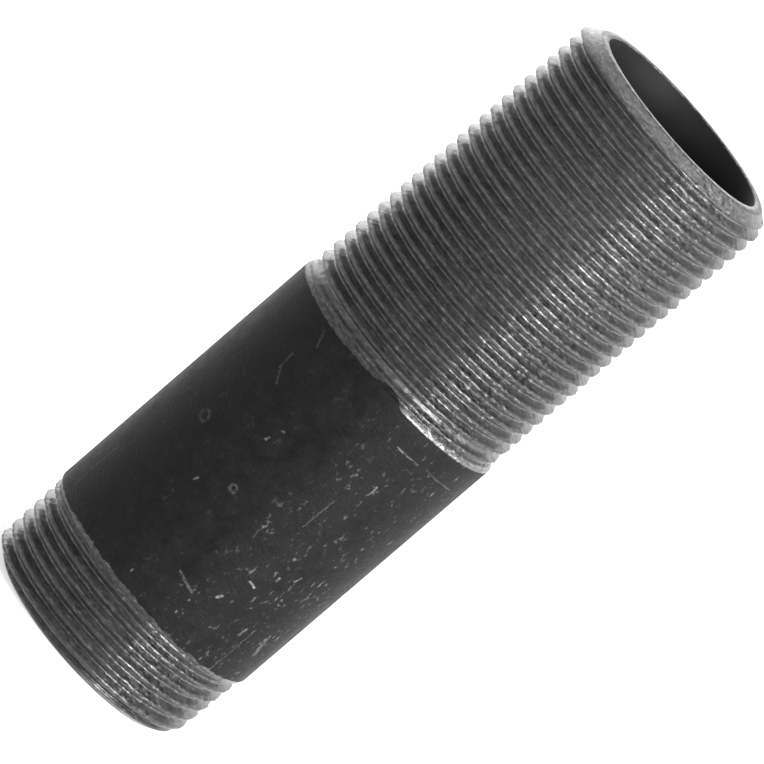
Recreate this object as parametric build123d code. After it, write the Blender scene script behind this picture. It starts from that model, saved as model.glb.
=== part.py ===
from build123d import *
import math
import os

# A steel tube nipple for screwed pipework, one solid piece: a long parallel thread on one end,
# a short taper thread on the other, plain tube between them and an open bore right through.
# It stands on its taper end: z = 0 is that end face, +Z runs along the axis to the long thread.
# Both threads are rings at the thread's own pitch and depth, with no lead. Millimetres.

# Tube
outer_diameter = 42.4
wall = 4.5
overall_length = 124.0

# Thread form: 11 turns to the inch, as deep as a 55 degree thread with rounded crests
thread_pitch = 25.4 / 11
thread_depth = 0.64 * thread_pitch

# Long parallel thread
long_major_diameter = 41.91
long_thread_length = 58.3
long_runout = 4.2
long_chamfer = 2.0
long_face_ring = 1.5

# Short taper thread, smaller towards its end face
short_end_major_diameter = 41.1
short_thread_length = 15.3
short_runout = 2.6
short_chamfer = 1.8
short_face_ring = 1.25
taper = 1 / 16

# Shoulder between a thread's crests and the plain tube, half as long again as it is high
shoulder_slope = 1.5

body_radius = outer_diameter / 2
bore_radius = body_radius - wall
long_start = overall_length - long_thread_length
long_shoulder = (body_radius - long_major_diameter / 2) * shoulder_slope


def short_radius(z):
    """Crest radius of the taper thread at height z."""
    return (short_end_major_diameter + z * taper) / 2


def long_radius(z):
    """Crest radius of the long thread, the same at every height."""
    return long_major_diameter / 2


def rings(crests, crest_radius, edge, runout):
    """(radius, z) points over a thread's crests: a sharp crest at each height, and between two
    neighbours a V that gets shallower within one run-out of the thread's edge."""
    points = []
    for low, high in zip(crests, crests[1:]):
        middle = (low + high) / 2
        depth = thread_depth * min(1, abs(middle - edge) / runout)
        points.append((crest_radius(low), low))
        points.append((crest_radius(middle) - depth, middle))
    points.append((crest_radius(crests[-1]), crests[-1]))
    return points


def short_thread_profile():
    """(radius, z) points up the outside of the taper thread, from its end face to the tube."""
    count = math.ceil((short_thread_length - short_chamfer) / thread_pitch)
    crests = [short_chamfer + k * thread_pitch for k in range(count)]
    crest_at_tube = short_radius(short_thread_length)
    shoulder = (body_radius - crest_at_tube) * shoulder_slope
    return [
        (bore_radius + short_face_ring, 0),
        *rings(crests, short_radius, short_thread_length, short_runout),
        (crest_at_tube, short_thread_length),
        (body_radius, short_thread_length + shoulder),
    ]


def long_thread_profile():
    """(radius, z) points up the outside of the long thread, from the tube to its end face."""
    top = overall_length - long_chamfer
    count = math.ceil((top - long_start) / thread_pitch)
    crests = [top - k * thread_pitch for k in reversed(range(count))]
    return [
        (body_radius, long_start - long_shoulder),
        (long_radius(long_start), long_start),
        *rings(crests, long_radius, long_start, long_runout),
        (bore_radius + long_face_ring, overall_length),
    ]


def nipple():
    """The whole piece: the tube wall's section turned about the axis."""
    outside = short_thread_profile() + long_thread_profile()
    inside = [(bore_radius, overall_length), (bore_radius, 0)]
    wall_section = Plane.XZ * Polygon(*outside, *inside, align=None)
    return revolve(wall_section, axis=Axis.Z)


os.makedirs("parts", exist_ok=True)
part = nipple()
export_step(part, "parts/nipple.step")
print("nipple", round(part.volume, 1), "mm3")
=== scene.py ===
import math

import bpy
import numpy as np
from mathutils import Euler, Matrix, Vector


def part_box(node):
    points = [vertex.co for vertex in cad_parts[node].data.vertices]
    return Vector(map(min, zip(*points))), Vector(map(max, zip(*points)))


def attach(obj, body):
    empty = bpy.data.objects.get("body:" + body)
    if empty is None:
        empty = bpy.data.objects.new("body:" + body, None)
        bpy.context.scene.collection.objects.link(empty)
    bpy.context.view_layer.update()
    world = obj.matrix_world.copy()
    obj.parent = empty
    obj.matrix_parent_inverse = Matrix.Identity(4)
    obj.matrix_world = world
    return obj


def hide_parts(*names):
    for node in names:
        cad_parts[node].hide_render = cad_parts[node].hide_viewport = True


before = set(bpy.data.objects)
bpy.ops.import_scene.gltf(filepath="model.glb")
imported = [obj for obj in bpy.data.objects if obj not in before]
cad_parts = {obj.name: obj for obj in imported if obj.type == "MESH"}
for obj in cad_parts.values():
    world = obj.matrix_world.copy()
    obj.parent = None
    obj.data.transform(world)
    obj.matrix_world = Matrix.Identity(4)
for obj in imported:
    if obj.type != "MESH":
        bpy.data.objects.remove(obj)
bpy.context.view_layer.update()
mm = 0.001

# The tube's own box gives its length and its outer radius, in millimetres
lowCorner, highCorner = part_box("nipple")
tubeLength = (highCorner.z - lowCorner.z) / mm
tubeRadius = (highCorner.x - lowCorner.x) / 2 / mm
print("frame loaded: tube", round(tubeLength, 2), "long,", round(tubeRadius, 2), "radius")


# Shader maths

class Sock:
    """Wraps one output socket, so that an expression on values adds its Math nodes."""

    def __init__(self, tree, socket):
        self.tree = tree
        self.socket = socket

    def node(self, kind, settings=None, out=0, **inputs):
        made = self.tree.nodes.new("ShaderNode" + kind)
        for name, value in (settings or {}).items():
            if name == "stops":
                ramp = made.color_ramp
                while len(ramp.elements) < len(value):
                    ramp.elements.new(0.5)
                for element, (place, shade) in zip(ramp.elements, value):
                    element.position = place
                    element.color = (shade, shade, shade, 1)
            else:
                setattr(made, name, value)
        for name, value in inputs.items():
            key = int(name[1:]) if name[0] == "i" and name[1:].isdigit() else name
            target = made.inputs[key]
            if isinstance(value, Sock):
                self.tree.links.new(value.socket, target)
            else:
                target.default_value = value
        return Sock(self.tree, made.outputs[out])

    def math(self, operation, *others):
        values = {f"i{k}": v for k, v in enumerate((self,) + others)}
        return self.node("Math", {"operation": operation}, **values)

    def maximum(self, other):
        return self.math("MAXIMUM", other)

    def back(self, operation, other):
        return self.node("Math", {"operation": operation}, i0=other, i1=self)

    def __add__(self, other):
        return self.math("ADD", other)

    def __sub__(self, other):
        return self.math("SUBTRACT", other)

    def __mul__(self, other):
        return self.math("MULTIPLY", other)

    def __truediv__(self, other):
        return self.math("DIVIDE", other)

    def __radd__(self, other):
        return self.back("ADD", other)

    def __rsub__(self, other):
        return self.back("SUBTRACT", other)

    def __rmul__(self, other):
        return self.back("MULTIPLY", other)

    def __rtruediv__(self, other):
        return self.back("DIVIDE", other)

    def clamp(self, low=0.0, high=1.0):
        return self.node("Clamp", Value=self, Min=low, Max=high)

    def step(self, start, stop):
        """0 below start, 1 above stop, a smooth rise between them."""
        settings = {"interpolation_type": "SMOOTHSTEP"}
        return self.node("MapRange", settings, i0=self, i1=start, i2=stop, i3=0.0, i4=1.0)

    def mix(self, low, high):
        """low where this value is 0, high where it is 1, as plain numbers."""
        return low + self * (high - low)


# Mesh

tube = dict(
    columns=180,          # points around every circle
    boreRadius=16.7,
    bodyRows=22,
    boreRows=26,
    outOfRound=0.05,      # how far the plain tube strays from a true circle
)

threadForm = dict(
    pitch=25.4 / 11,
    depth=0.64033 * 25.4 / 11,
    crest=20.8,           # radius above which the steel counts as crest
    crestHalf=0.11,       # half widths of the flats, as a share of the pitch
    rootHalf=0.08,
    rounding=0.2,         # how much of the flank its rounded ends take
    phase=0.71,           # height of a crest above the bottom face at angle 0
    rows=(0.0, 0.08, 0.13, 0.19, 0.3, 0.4, 0.46, 0.54, 0.6, 0.7, 0.81, 0.87, 0.92),
    wear=0.16,            # how far the crests stay below their full size
    unevenness=0.13,      # how much of that varies along the crests
)

longThread = dict(
    crestRadius=20.955,
    start=65.7,           # edge of the black coat
    shoulder=0.9,         # the coat's edge slopes down to the crests over this height
    plain=0.35,           # smooth band above the edge
    runout=3.3,           # the grooves then reach full depth over this height
    chamfer=2.0,
    faceRadius=18.2,
)

shortThread = dict(
    endRadius=20.55,      # crest radius at the bottom face
    taper=1 / 32,         # growth of that radius for each millimetre up
    end=15.3,             # edge of the black coat
    shoulder=0.7,
    plain=0.6,
    runout=2.0,
    chamfer=1.8,
    faceRadius=17.95,
)


def waves(angle, height, seed, count, aroundMax, tall):
    """Smooth random value near -1 to 1: a sum of sine waves that close around the circle."""
    draw = np.random.default_rng(seed)
    total = np.zeros(np.broadcast(angle, height).shape)
    for k in range(count):
        around = draw.integers(1, aroundMax + 1)
        along = draw.uniform(-1, 1) * 2 * math.pi / tall
        total = total + np.sin(around * angle + along * height + draw.uniform(0, 2 * math.pi))
    return total / math.sqrt(count / 2) / 1.6


def roundClamp(x, w):
    """x held between 0 and 1, with a parabola of half width w at both corners."""
    low = np.where(x < -w, 0.0, np.where(x < w, (x + w) ** 2 / (4 * w), x))
    over = x - 1
    high = np.where(over > w, 1.0, np.where(over > -w, 1 - (w - over) ** 2 / (4 * w), low))
    return np.where(x > 0.5, high, low)


def smooth(x, start, stop):
    """0 below start, 1 above stop, an S curve between them."""
    s = np.clip((x - start) / (stop - start), 0, 1)
    return s * s * (3 - 2 * s)


def grooveDepth(angle, height):
    """Depth below the crest of the single-start thread: its phase is the height in pitches less
    the turns gone round, and the depth climbs a straight flank between two rounded flats."""
    form = threadForm
    phase = (height - form["phase"]) / form["pitch"] - angle / (2 * math.pi)
    away = np.abs((phase + 0.5) % 1 - 0.5)
    flank = 0.5 - form["crestHalf"] - form["rootHalf"]
    return form["depth"] * roundClamp((away - form["crestHalf"]) / flank, form["rounding"])


def crestLoss(angle, height, seed):
    """How far the crests lie below their full size: an even wear and an uneven one."""
    form = threadForm
    rough = 0.6 * waves(angle, height, seed, 14, 70, 1.6) + 0.4 * waves(angle, height, seed + 40, 9, 14, 9)
    return form["wear"] + form["unevenness"] * rough


def bodyRadius(angle, height):
    """Plain tube, a little out of round."""
    return tubeRadius - tube["outOfRound"] * (0.5 + 0.5 * waves(angle, height, 5, 6, 4, 90))


def longRadius(angle, height):
    """Surface of the long end: crest cylinder less the groove, filled by the run-out cone near
    the tube, cut by the end chamfer, and never outside the plain tube."""
    p = longThread
    up = height - p["start"]
    crest = bodyRadius(angle, height) + (p["crestRadius"] - tubeRadius) * smooth(up, 0, p["shoulder"])
    crest = crest - crestLoss(angle, height, 11) * smooth(up, 0, 1)
    share = np.clip((up - p["plain"]) / p["runout"], 0, 1)
    depth = np.minimum(grooveDepth(angle, height), threadForm["depth"] * share)
    slope = (p["crestRadius"] - p["faceRadius"]) / p["chamfer"]
    cone = p["faceRadius"] + (tubeLength - height) * slope
    return np.minimum(crest - depth, cone)


def shortRadius(angle, height):
    """Surface of the short end: the same thread on a cone."""
    p = shortThread
    down = p["end"] - height
    crest = np.minimum(p["endRadius"] + p["taper"] * height, bodyRadius(angle, height))
    blend = smooth(down, 0, p["shoulder"])
    crest = bodyRadius(angle, height) * (1 - blend) + crest * blend
    crest = crest - crestLoss(angle, height, 12) * smooth(down, 0, 1)
    share = np.clip((down - p["plain"]) / p["runout"], 0, 1)
    depth = np.minimum(grooveDepth(angle, height), threadForm["depth"] * share)
    slope = (p["endRadius"] - p["faceRadius"]) / p["chamfer"]
    cone = p["faceRadius"] + height * slope
    return np.minimum(crest - depth, cone)


class Skin:
    """Collects points on circles and helical rows, and the triangles between them."""

    def __init__(self):
        self.points = []
        self.count = 0
        self.triangles = []
        self.angles = np.arange(tube["columns"]) * 2 * math.pi / tube["columns"]

    def add(self, radius, angle, height):
        """Adds points and returns their numbers, in the shape of the arrays."""
        radius, angle, height = np.broadcast_arrays(radius, angle, height)
        xyz = np.stack([radius * np.cos(angle), radius * np.sin(angle), height], -1)
        self.points.append(xyz.reshape(-1, 3))
        numbers = self.count + np.arange(radius.size).reshape(radius.shape)
        self.count += radius.size
        return numbers

    def quads(self, a, b, c, d):
        """Two triangles for each four-sided cell, those with a doubled corner left out."""
        cells = np.concatenate([np.stack([a, b, c], -1).reshape(-1, 3),
                                np.stack([a, c, d], -1).reshape(-1, 3)])
        whole = ((cells[:, 0] != cells[:, 1]) & (cells[:, 1] != cells[:, 2])
                 & (cells[:, 0] != cells[:, 2]))
        self.triangles.append(cells[whole])

    def rings(self, rows):
        """Faces between rows of circles: rows is one array of numbers, row by row."""
        here = rows
        beside = np.roll(rows, -1, axis=1)
        self.quads(here[:-1], beside[:-1], beside[1:], here[1:])

    def helix(self, low, high, bottom, top, surface):
        """Thread zone from height low to high: each row of points follows the helix and comes
        back one pitch higher, so that crest and root edges run along the mesh. Points past the
        zone's ends are held on its bottom and top circles."""
        pitch = threadForm["pitch"]
        shares = np.array(threadForm["rows"])
        first = math.floor((low - threadForm["phase"]) / pitch) - 2
        last = math.ceil((high - threadForm["phase"]) / pitch) + 1
        turns = np.arange(first, last)
        rows = (turns[:, None] + shares[None, :]).ravel()
        height = threadForm["phase"] + pitch * (rows[:, None] + self.angles[None, :] / (2 * math.pi))
        snap = 0.02 * pitch
        inside = (height > low + snap) & (height < high - snap)
        numbers = np.where(height <= low + snap, bottom[None, :], top[None, :])
        angle = np.broadcast_to(self.angles, height.shape)
        numbers[inside] = self.add(surface(angle[inside], height[inside]), angle[inside], height[inside])
        lift = len(shares)
        here = numbers[:-lift]
        beside = np.concatenate([here[:, 1:], numbers[lift:, :1]], axis=1)
        self.quads(here[:-1], beside[:-1], beside[1:], here[1:])

    def mesh(self, name):
        data = bpy.data.meshes.new(name)
        points = np.concatenate(self.points) * mm
        triangles = np.concatenate(self.triangles)
        data.vertices.add(len(points))
        data.vertices.foreach_set("co", points.ravel())
        data.loops.add(triangles.size)
        data.loops.foreach_set("vertex_index", triangles.ravel())
        data.polygons.add(len(triangles))
        data.polygons.foreach_set("loop_start", np.arange(len(triangles)) * 3)
        data.polygons.foreach_set("use_smooth", np.ones(len(triangles), bool))
        data.update(calc_edges=True)
        data.validate()
        return data


def buildTube():
    """The whole piece as one closed skin: bore, end rings, chamfers, threads and plain tube."""
    skin = Skin()
    angle = skin.angles

    def circle(radius, height):
        return skin.add(radius, angle, height)

    def chamferZone(p, sign, face, crestAt):
        """Heights from the end face up to where the cone meets the bottom of the grooves."""
        slope = (crestAt - p["faceRadius"]) / p["chamfer"]
        reach = (crestAt - threadForm["depth"] - p["faceRadius"]) / slope
        return face + sign * reach

    shortTop = chamferZone(shortThread, 1, 0, shortThread["endRadius"])
    longTop = chamferZone(longThread, -1, tubeLength, longThread["crestRadius"])

    edge = 0.12
    boreHeights = np.linspace(edge, tubeLength - edge, tube["boreRows"])
    bore = [circle(tube["boreRadius"], h) for h in boreHeights[::-1]]

    def endFace(p, height, sign):
        inner = tube["boreRadius"] + edge
        outer = p["faceRadius"]
        return [circle(inner, height), circle((inner + outer) / 2, height), circle(outer - edge, height)]

    bottomFace = endFace(shortThread, 0, 1)
    bottomCone = [circle(shortRadius(angle, h), h) for h in (edge, shortTop * 0.5, shortTop)]
    shortEnd = circle(bodyRadius(angle, shortThread["end"]), shortThread["end"])
    skin.helix(shortTop, shortThread["end"], bottomCone[-1], shortEnd, shortRadius)

    bodyHeights = np.linspace(shortThread["end"], longThread["start"], tube["bodyRows"])[1:-1]
    body = [circle(bodyRadius(angle, h), h) for h in bodyHeights]
    longEnd = circle(bodyRadius(angle, longThread["start"]), longThread["start"])
    topCone = [circle(longRadius(angle, h), h)
               for h in (longTop, (longTop + tubeLength) / 2, tubeLength - edge)]
    skin.helix(longThread["start"], longTop, longEnd, topCone[0], longRadius)
    topFace = endFace(longThread, tubeLength, -1)[::-1]

    skin.rings(np.array(bore + bottomFace + bottomCone))
    skin.rings(np.array([shortEnd] + body + [longEnd]))
    skin.rings(np.array(topCone + topFace + [bore[0]]))
    return skin.mesh("nippleSkin")


# Materials

steel = dict(
    base=0.06,
    metallic=0.55,
    rough=0.34,
    film=0.45,             # thin oil left by the cutting
)

coat = dict(
    base=0.0055,
    rough=0.5,
    bare=0.16,            # steel that shows through a scratch
)

# Scratches: two ends as (angle away from the front, height), half width and strength
coatScratches = (
    ((-1.096, 20.8), (-1.09, 26.2), 0.14, 0.5),
    ((-1.08, 17.2), (-1.09, 20.3), 0.12, 0.3),
    ((-0.50, 53.6), (-0.59, 55.6), 0.3, 0.22),
    ((-0.59, 55.5), (-0.60, 58.2), 0.22, 0.3),
    ((-0.51, 62.0), (-0.57, 64.2), 0.3, 0.25),
    ((0.26, 22.7), (0.09, 23.6), 0.3, 0.45),
    ((0.42, 24.9), (0.44, 25.6), 0.3, 1.0),
    ((0.50, 30.2), (0.56, 30.0), 0.26, 1.3),
    ((-0.14, 17.8), (-0.14, 18.1), 0.26, 0.7),
    ((-0.35, 34.4), (-0.34, 35.0), 0.26, 0.8),
    ((-0.23, 47.0), (-0.22, 47.6), 0.28, 0.9),
    ((-0.19, 49.7), (-0.18, 50.0), 0.24, 0.6),
    ((0.64, 33.2), (0.64, 33.7), 0.3, 0.8),
    ((0.76, 34.8), (0.78, 35.8), 0.26, 0.9),
    ((0.88, 15.5), (0.88, 24.8), 0.1, 0.5),
    ((0.45, 61.4), (0.68, 61.4), 0.16, 0.8),
    ((0.80, 61.5), (1.16, 61.0), 0.14, 0.35),
    ((0.44, 42.2), (0.45, 48.7), 0.16, 0.35),
    ((0.80, 22.5), (0.81, 24.0), 0.34, 0.7),
    ((1.12, 21.2), (1.06, 24.2), 0.6, 0.5),
    ((0.98, 32.8), (1.0, 33.8), 0.3, 0.4),
)

# Rings: centre, radius, half width and strength
coatRings = (
    ((-0.70, 41.3), 0.95, 0.4, 0.2),
    ((-0.11, 38.3), 0.55, 0.36, 0.3),
)

boreScale = dict(
    base=0.009,
    rough=0.6,
)


def newMaterial(name):
    material = bpy.data.materials.new(name)
    material.use_nodes = True
    tree = material.node_tree
    shader = tree.nodes["Principled BSDF"]
    coordinates = tree.nodes.new("ShaderNodeTexCoord")
    here = Sock(tree, coordinates.outputs["Object"])
    place = here.node("VectorMath", {"operation": "SCALE"}, i0=here, Scale=1000.0)
    return material, tree, shader, place


def feed(tree, shader, name, value):
    if isinstance(value, Sock):
        tree.links.new(value.socket, shader.inputs[name])
    else:
        shader.inputs[name].default_value = value


def grey(value):
    """The same number in all three colours."""
    return value.node("CombineColor", i0=value, i1=value, i2=value)


def parts(place):
    """x, y, z, radius and angle of the point, in millimetres and radians."""
    split = place.tree.nodes.new("ShaderNodeSeparateXYZ")
    place.tree.links.new(place.socket, split.inputs[0])
    x, y, z = (Sock(place.tree, split.outputs[k]) for k in range(3))
    radius = (x * x + y * y).math("SQRT")
    return x, y, z, radius, y.math("ARCTAN2", x)


def lively(value, gain):
    """Noise spread from its middle by a gain and held between 0 and 1."""
    return ((value - 0.5) * gain + 0.5).clamp()


def noise(place, x, y, z, scales, size=1.0, detail=3.0, rough=0.55):
    """Noise on coordinates stretched by three scales."""
    vector = x.node("CombineXYZ", X=x * scales[0], Y=y * scales[1], Z=z * scales[2])
    return vector.node("TexNoise", {}, Vector=vector, Scale=size, Detail=detail, Roughness=rough)


def stroke(around, z, start, end, halfWidth):
    """1 on a straight scratch between two points of the unrolled tube, 0 one half width off it:
    the distance to the segment is taken at the nearest place along it."""
    runA = (end[0] - start[0]) * tubeRadius
    runZ = end[1] - start[1]
    length = runA * runA + runZ * runZ
    offA = around * tubeRadius - start[0] * tubeRadius
    offZ = z - start[1]
    along = ((offA * runA + offZ * runZ) / length).clamp()
    awayA = offA - along * runA
    awayZ = offZ - along * runZ
    away = (awayA * awayA + awayZ * awayZ).math("SQRT")
    return 1 - away.step(halfWidth * 0.4, halfWidth)


def ringMark(around, z, centre, size, halfWidth):
    """1 on a small circle pressed into the coat."""
    offA = (around - centre[0]) * tubeRadius
    offZ = z - centre[1]
    away = (offA * offA + offZ * offZ).math("SQRT")
    return 1 - (away - size).math("ABSOLUTE").step(halfWidth * 0.4, halfWidth)


def between(value, low, high, soft):
    """1 from low to high, 0 outside, with soft edges."""
    return value.step(low - soft, low + soft) * (1 - value.step(high - soft, high + soft))


def coatMarks(around, z, breaks):
    """Every scratch and ring on the coat, each with its own strength."""
    total = None
    for start, end, halfWidth, strength in coatScratches:
        mark = strength * stroke(around, z, start, end, halfWidth)
        total = mark if total is None else total.maximum(mark)
    for centre, size, halfWidth, strength in coatRings:
        total = total.maximum(strength * ringMark(around, z, centre, size, halfWidth))
    return total * (0.25 + 0.75 * breaks)


def outsideFinish():
    """Black scale on the plain tube, bare cut steel on the threads and chamfers."""
    material, tree, shader, place = newMaterial("tubeOutside")
    x, y, z, radius, angle = parts(place)
    around = x.math("ARCTAN2", 0 - y)

    # Edges of the coat, in millimetres up the tube, from the angle away from the front
    ragged = noise(place, x, y, z, (0.9, 0.9, 0.9), 1.0, 4.0, 0.65) - 0.5
    notch = between(around, 0.0, 0.19, 0.06)
    longEdge = 65.55 + 0.45 * around.step(-0.6, -0.05) + 0.95 * notch - 0.35 * around.step(0.2, 0.3)
    shortEdge = 15.1 + 0.45 * between(around, -0.8, 0.05, 0.1) + 0.2 * between(around, 0.05, 0.4, 0.1)
    rightOf = around.step(0.24, 0.3) * (1 - around.step(1.7, 2.2))
    toLong = z - longEdge + ragged * (0.8 - 0.6 * rightOf)
    toShort = shortEdge - z + ragged * 1.6
    black = (1 - toLong.step(-0.08, 0.08)) * (1 - toShort.step(-0.08, 0.08))

    # Cut steel: streaks along the cut, torn specks, and less contrast towards the long end; painted light lifts the
    # shade in the grooves, and lifts the steel further towards the long end
    streak = lively(noise(place, x, y, z, (0.35, 0.35, 4.5), 1.0, 3.0, 0.6), 3.0)
    torn = lively(noise(place, x, y, z, (1.1, 1.1, 2.6), 1.0, 3.0, 0.75), 3.2)
    cloud = lively(noise(place, x, y, z, (0.3, 0.3, 0.3), 1.0, 4.0, 0.7), 2.6)
    inGroove = (threadForm["crest"] - radius).step(0.1, 1.1)
    farEnd = z.step(84.0, 104.0)
    # painted light: the grooves' colour is raised to fill the shade that falls in them, and crests and grooves are
    # raised further towards the long end
    grooveAndFarEndPaintedLight = 0.85 + 0.7 * inGroove + farEnd * (0.3 + 0.15 * inGroove)
    # specks gather in the band on the right where the key lamp's highlight falls; the bright sparks there are painted
    # glints on top of real torn specks
    glintBandShare = 0.25 + 0.75 * between(around, 0.28, 0.9, 0.08)
    sparkAndGlint = torn.step(0.72, 0.95) * glintBandShare
    pit = (1 - torn.step(0.08, 0.38)) * glintBandShare
    steelShade = steel["base"] * grooveAndFarEndPaintedLight * (0.4 + 0.5 * streak + 0.25 * cloud + 0.3 * torn) + 0.2 * sparkAndGlint
    steelShade = steelShade * (1 - 0.7 * pit)
    # painted highlight on the right of the coat's long edge, where the shoulder faces the key lamp, and a painted dark
    # line of shade just above it
    shoulderPaintedHighlight = between(toLong, 0.05, 0.75, 0.1) * rightOf
    shoulderPaintedShadeLine = between(toLong, 0.95, 1.2, 0.08) * rightOf
    steelShade = steelShade * (1 + 2.2 * shoulderPaintedHighlight - 0.7 * shoulderPaintedShadeLine)
    # painted light on the top chamfer, stronger on its left, and painted shade on the bottom chamfer, which faces the
    # floor
    topChamferPaintedLight = z.step(tubeLength - 2.0, tubeLength - 1.85) * (1.6 - 1.2 * around.step(-1.3, -0.5))
    lowChamferPaintedShade = 1 - z.step(1.6, 1.75)
    steelShade = steelShade * (1 + 0.35 * topChamferPaintedLight - 0.55 * lowChamferPaintedShade)
    faceRing = z.step(tubeLength - 0.16, tubeLength - 0.1)
    steelShade = steelShade * (1 - faceRing * (0.8 - 0.7 * torn))

    # Coat: mottled, with specks of bare steel that lie along the tube, mostly on its right side
    fleck = noise(place, x, y, z, (1.3, 1.3, 0.75), 1.0, 3.0, 0.65)
    rightSide = between(around, 0.2, 1.3, 0.12)
    flecks = fleck.step(0.56, 0.76) * (0.12 + 0.88 * rightSide) * cloud.step(0.3, 0.9)
    marks = coatMarks(around + 0.03 * ragged, z + 0.25 * (torn - 0.5), torn.step(0.2, 0.8))
    bare = (1.2 * flecks).maximum(marks)
    coatShade = coat["base"] * (0.1 + 1.2 * cloud + 0.7 * torn) + coat["bare"] * bare

    shade = black * coatShade + (1 - black) * steelShade
    feed(tree, shader, "Base Color", grey(shade.clamp()))
    feed(tree, shader, "Metallic", (1 - black) * steel["metallic"])
    steelRough = steel["rough"] + 0.12 * (streak - 0.5) - 0.08 * sparkAndGlint
    coatRough = coat["rough"] + 0.16 * (cloud - 0.5)
    feed(tree, shader, "Roughness", (black * coatRough + (1 - black) * steelRough).clamp())
    oiled = 0.7 - 0.55 * around.step(-0.6, -0.2) + 1.15 * around.step(0.14, 0.3)
    oiled = oiled - 0.6 * around.step(1.9, 3.1)
    film = steel["film"] * (0.5 + 0.4 * streak + 0.3 * torn) * (1 - 0.8 * pit) * (1 - 0.8 * faceRing)
    film = film * oiled * (1 - 0.4 * farEnd)
    feed(tree, shader, "Coat Weight", ((1 - black) * film).clamp())
    shader.inputs["Coat Roughness"].default_value = 0.17
    shader.inputs["Specular IOR Level"].default_value = 0.11
    relief = torn + 0.4 * streak
    bump = place.node("Bump", {}, Strength=0.8, Distance=0.00004, Height=relief)
    feed(tree, shader, "Normal", bump)
    return material


def boreFinish():
    """Dark scale inside the bore."""
    material, tree, shader, place = newMaterial("tubeBore")
    x, y, z, radius, angle = parts(place)
    blotch = noise(place, x, y, z, (0.25, 0.25, 0.12), 1.0, 4.0)
    feed(tree, shader, "Base Color", grey(boreScale["base"] * (0.6 + 0.8 * blotch)))
    feed(tree, shader, "Roughness", boreScale["rough"])
    shader.inputs["Specular IOR Level"].default_value = 0.15
    return material


# Stage

stage = dict(
    azimuth=0.0,
    cameraHeight=392.0,      # above the floor, from the tilt of both end rings
    cameraReach=1596.0,      # level distance from the tube's axis
    aimHeight=62.2,
    aimSide=0.144,
    roll=-49.3,
    lens=500.4,
)


def addCamera():
    p = stage
    eye = Vector((p["aimSide"], -p["cameraReach"], p["cameraHeight"])) * mm
    aim = Vector((p["aimSide"], 0, p["aimHeight"])) * mm
    view = (aim - eye).to_track_quat("-Z", "Y")
    turn = view @ Euler((0, 0, math.radians(-p["roll"]))).to_quaternion()
    data = bpy.data.cameras.new("studioCamera")
    data.lens = p["lens"]
    data.sensor_width = 36
    data.clip_end = 10
    camera = bpy.data.objects.new("studioCamera", data)
    camera.matrix_world = Matrix.Translation(eye) @ turn.to_matrix().to_4x4()
    bpy.context.scene.collection.objects.link(camera)
    bpy.context.scene.camera = camera


def addLamp(name, place, aim, size, watts, height=None):
    data = bpy.data.lights.new(name, "AREA")
    data.shape = "RECTANGLE"
    data.size = size
    data.size_y = height or size
    data.energy = watts
    lamp = bpy.data.objects.new(name, data)
    place = Vector(place)
    lamp.matrix_world = Matrix.Translation(place) @ (Vector(aim) - place).to_track_quat("-Z", "Y").to_matrix().to_4x4()
    bpy.context.scene.collection.objects.link(lamp)
    return lamp


def onBearing(azimuth, elevation, distance):
    """A point seen from the tube at that bearing: 0 is the camera's side, 90 its right."""
    a, e = math.radians(azimuth), math.radians(elevation)
    return (distance * math.cos(e) * math.sin(a), -distance * math.cos(e) * math.cos(a),
            distance * math.sin(e) + 0.06)


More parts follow.
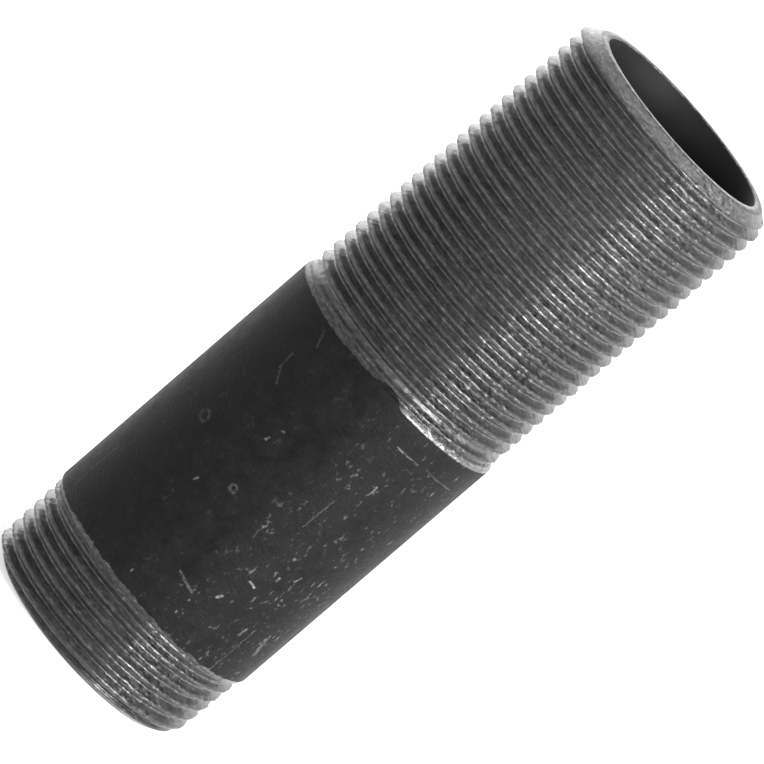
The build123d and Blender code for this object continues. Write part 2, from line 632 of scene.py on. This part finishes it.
def addLights():
    middle = (0, 0, 0.06)
    addLamp("keySoftbox", onBearing(50, 22, 1.0), middle, 0.5, 19.0, 0.75)
    addLamp("sideSoftbox", onBearing(95, 15, 1.0), middle, 0.9, 2.4, 0.7)
    addLamp("topSoftbox", onBearing(180, 84, 1.1), middle, 0.8, 1.2)
    addLamp("rimSoftboxLeft", onBearing(-155, 12, 1.2), middle, 1.1, 3.0, 0.5)
    addLamp("rimSoftboxRight", onBearing(168, 12, 1.2), middle, 0.6, 0.3, 0.5)
    world = bpy.data.worlds.new("studio")
    bpy.context.scene.world = world
    world.use_nodes = True
    tree = world.node_tree
    background = tree.nodes["Background"]
    path = tree.nodes.new("ShaderNodeLightPath")
    seen = Sock(tree, path.outputs["Is Camera Ray"]).math("MAXIMUM", Sock(tree, path.outputs["Is Glossy Ray"]))
    seen = seen.math("MAXIMUM", Sock(tree, path.outputs["Is Transmission Ray"]))
    tree.links.new((seen * 0.45 + 0.55).socket, background.inputs["Strength"])
    background.inputs["Color"].default_value = (1, 1, 1, 1)


def addFloor():
    half = 6.0
    data = bpy.data.meshes.new("floor")
    data.from_pydata([(-half, -half, 0), (half, -half, 0), (half, half, 0), (-half, half, 0)], [], [(0, 1, 2, 3)])
    floor = bpy.data.objects.new("floor", data)
    bpy.context.scene.collection.objects.link(floor)
    material = bpy.data.materials.new("floorPaper")
    material.use_nodes = True
    tree = material.node_tree
    shader = tree.nodes["Principled BSDF"]
    shader.inputs["Base Color"].default_value = (0.8, 0.8, 0.8, 1)
    shader.inputs["Roughness"].default_value = 1.0
    shader.inputs["Specular IOR Level"].default_value = 0.0
    path = tree.nodes.new("ShaderNodeLightPath")
    seen = Sock(tree, path.outputs["Is Camera Ray"]).math("MAXIMUM", Sock(tree, path.outputs["Is Glossy Ray"]))
    seen = seen.math("MAXIMUM", Sock(tree, path.outputs["Is Transmission Ray"]))
    shader.inputs["Emission Color"].default_value = (1, 1, 1, 1)
    tree.links.new((seen * 0.6).socket, shader.inputs["Emission Strength"])
    data.materials.append(material)


skinMesh = buildTube()
nipple = bpy.data.objects.new("nippleTube", skinMesh)
bpy.context.scene.collection.objects.link(nipple)
skinMesh.materials.append(outsideFinish())
skinMesh.materials.append(boreFinish())
centres = np.empty(len(skinMesh.polygons) * 3)
skinMesh.polygons.foreach_get("center", centres)
centres = centres.reshape(-1, 3)
inBore = np.hypot(centres[:, 0], centres[:, 1]) < (tube["boreRadius"] + 0.02) * mm
skinMesh.polygons.foreach_set("material_index", inBore.astype(np.int32))
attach(nipple, "root")
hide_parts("nipple")
print("tube built:", len(skinMesh.polygons), "triangles")

addFloor()
addLights()
addCamera()
bpy.context.scene.view_settings.view_transform = "Standard"
print("stage set")
